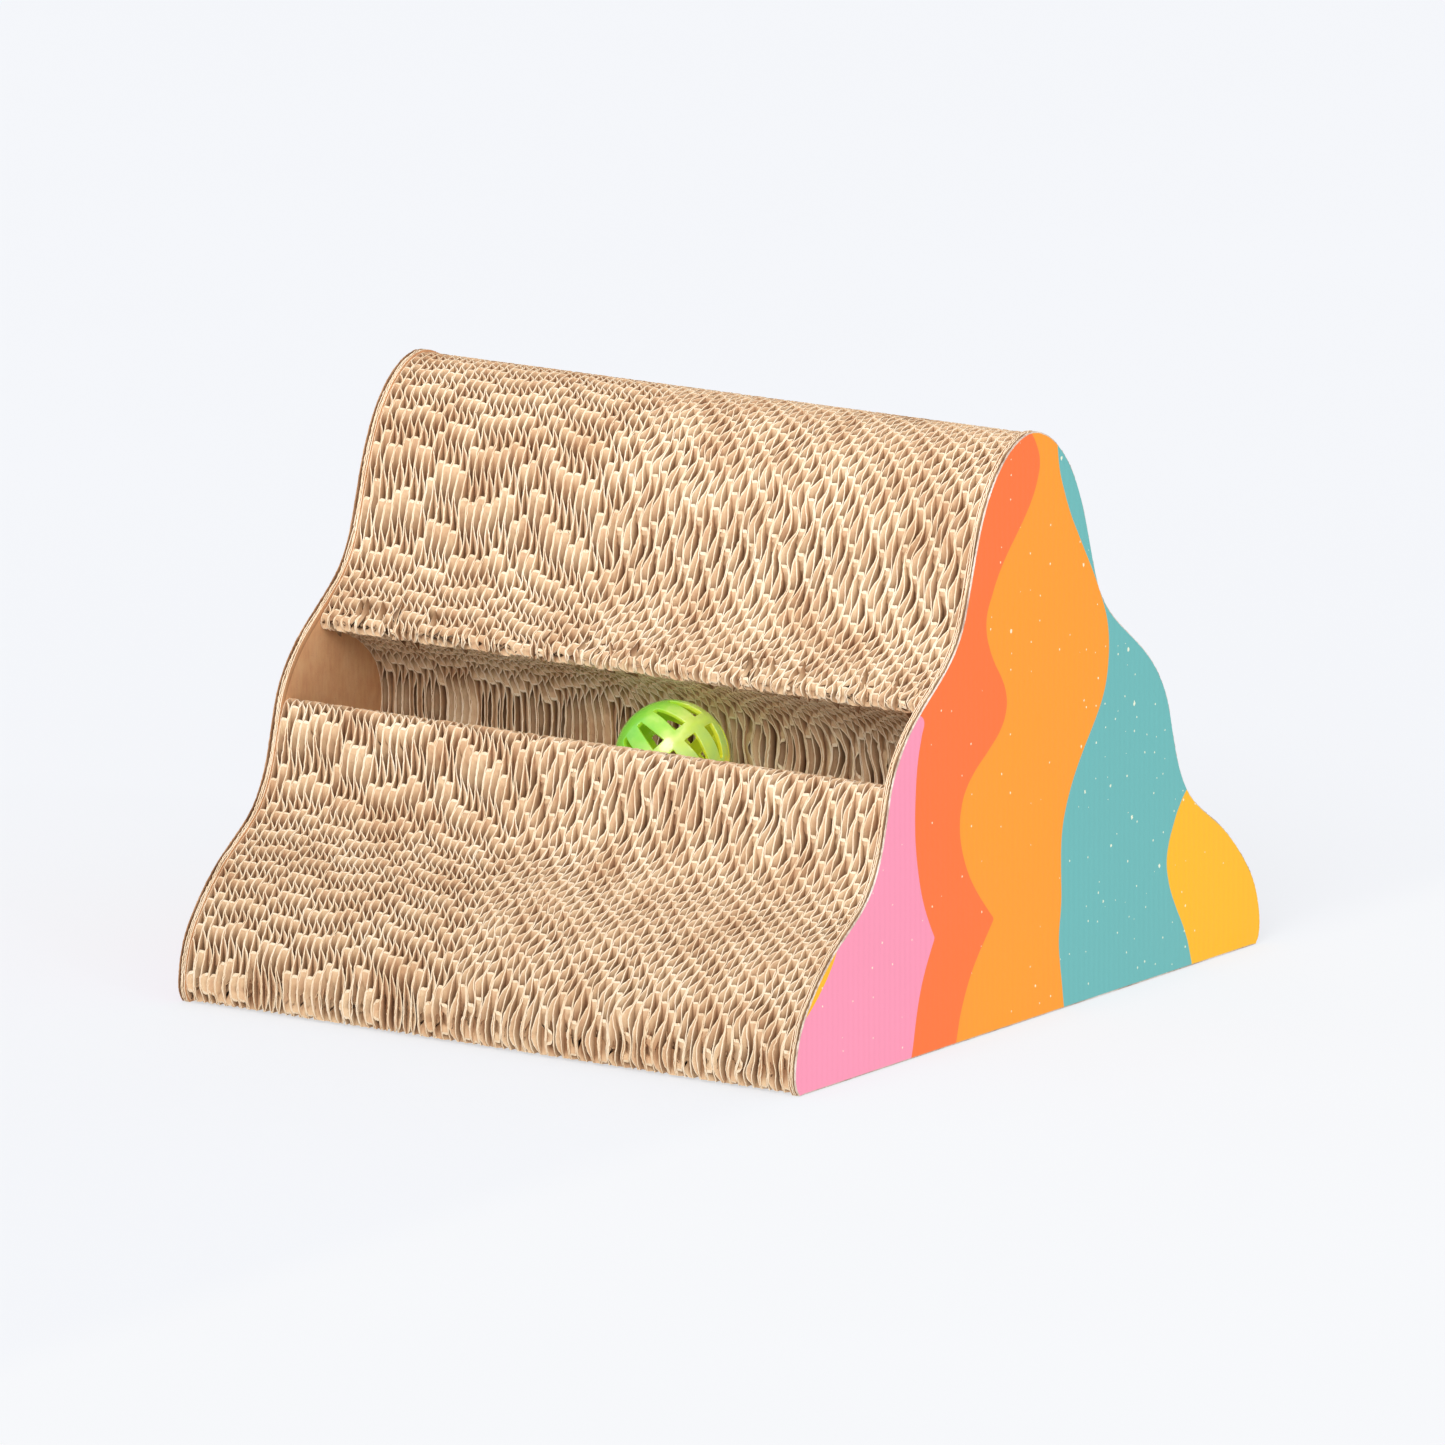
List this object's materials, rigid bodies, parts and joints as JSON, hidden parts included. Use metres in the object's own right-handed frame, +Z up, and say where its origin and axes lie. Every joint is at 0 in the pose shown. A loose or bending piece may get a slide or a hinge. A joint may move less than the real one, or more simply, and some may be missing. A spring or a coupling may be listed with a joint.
{
  "type": "cardboard cat scratcher",
  "caption": "Wavy hill-shaped corrugated cardboard cat scratcher with printed end boards and a slotted bell ball held in a track along its front.",
  "frame": {"origin": "on the floor, midway between the two end boards and midway between front and back", "axes": "+Z up, X along the stack of sheets from the left board to the right board, -Y towards the ball track"},
  "size_m": [0.2598, 0.2888, 0.2073],
  "materials": {
    "core_board": "matte brown kraft, open flutes on the cut edges",
    "board_inner_liner": "matte brown kraft liner",
    "board_flutes": "matte brown kraft, fluted",
    "printed_paper": "white paper face printed with five flat wavy colour bands, slight sheen",
    "ball_plastic": "glossy translucent plastic, green fading to yellow-green",
    "bell_metal": "thin bright plated sheet"
  },
  "bodies": {
    "scratcher": {"core_sheets_01": "core_board", "core_sheets_02": "core_board", "core_sheets_03": "core_board", "core_sheets_04": "core_board", "core_sheets_05": "core_board", "core_sheets_06": "core_board", "core_sheets_07": "core_board", "core_sheets_08": "core_board", "core_sheets_09": "core_board", "core_sheets_10": "core_board", "core_sheets_11": "core_board", "core_sheets_12": "core_board", "core_sheets_13": "core_board", "core_sheets_14": "core_board", "core_sheets_15": "core_board", "core_sheets_16": "core_board", "left_board_inner_liner": "board_inner_liner", "left_board_fluted_layer": "board_flutes", "left_board_printed_face": "printed_paper", "right_board_inner_liner": "board_inner_liner", "right_board_fluted_layer": "board_flutes", "right_board_printed_face": "printed_paper"},
    "bell": {"bell_upper_cup": "bell_metal", "bell_lower_cup": "bell_metal", "bell_pellet": "bell_metal"},
    "ball": {"ball_upper_shell": "ball_plastic", "ball_lower_shell": "ball_plastic"}
  },
  "joints": [
    {"name": "ball_travel", "type": "slide", "parent": "scratcher", "child": "bell", "axis": [1, 0, 0], "range_m": [-0.1228, 0.0896]},
    {"name": "ball_roll", "type": "hinge", "parent": "bell", "child": "ball", "pos_m": [0.0166, -0.054, 0.0887], "axis": [0, 1, 0], "range_deg": [-354, 259]}
  ],
  "couplings": [
    {"joint": "ball_roll", "follows": "ball_travel", "rad_per_m": 50}
  ]
}
